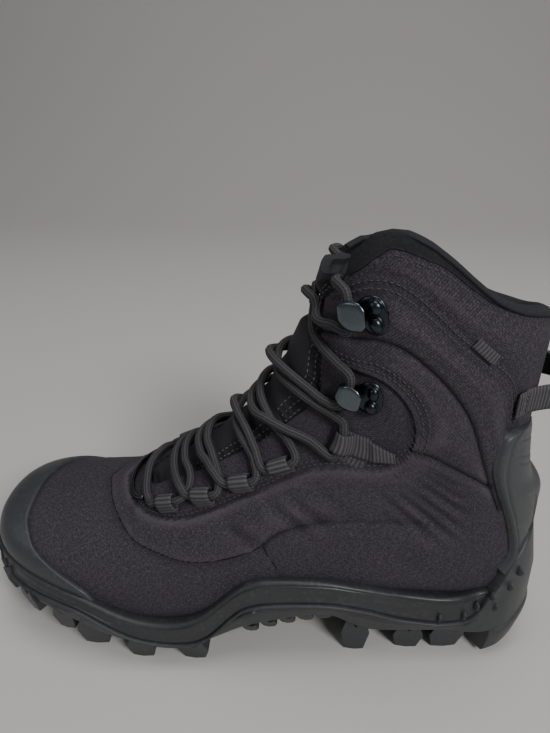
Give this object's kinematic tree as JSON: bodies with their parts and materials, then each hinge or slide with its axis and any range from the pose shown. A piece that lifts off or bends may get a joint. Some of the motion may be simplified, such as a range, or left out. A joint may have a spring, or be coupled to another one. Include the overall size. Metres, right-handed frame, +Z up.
{
  "type": "tactical boot",
  "caption": "Laced ankle-high tactical boot with padded collar, rubber toe bumper and heel counter, speed hooks, ankle straps, rear pull loop and lugged rubber sole.",
  "frame": {"origin": "middle of the boot's footprint, on the floor", "axes": "+Z up, -X towards the toe, -Y towards the outer (lateral) side"},
  "size_m": [0.2973, 0.1089, 0.218],
  "materials": {
    "woven_fabric": "matte",
    "tongue_fabric": "matte",
    "lining": "matte",
    "outsole_rubber": "satin",
    "midsole_rubber": "satin",
    "webbing": "matte",
    "lace_cord": "matte",
    "black_metal": "gloss"
  },
  "bodies": {
    "root": {"upper": "woven_fabric", "tongue": "tongue_fabric", "insole": "lining", "midsole": "midsole_rubber", "outsole": "outsole_rubber", "toe_bumper": "outsole_rubber", "heel_counter": "outsole_rubber", "throat_ring": "black_metal", "lace": "lace_cord", "pull_loop": "webbing", "side_tag": "webbing", "lace_loop_lateral_1": "webbing", "lace_loop_lateral_2": "webbing", "lace_loop_lateral_3": "webbing", "lace_loop_lateral_4": "webbing", "ankle_strap_lateral": "webbing", "lace_hook_lateral_lower": "black_metal", "lace_hook_lateral_upper": "black_metal", "lace_loop_medial_1": "webbing", "lace_loop_medial_2": "webbing", "lace_loop_medial_3": "webbing", "lace_loop_medial_4": "webbing", "ankle_strap_medial": "webbing", "lace_hook_medial_lower": "black_metal", "lace_hook_medial_upper": "black_metal"}
  },
  "joints": []
}
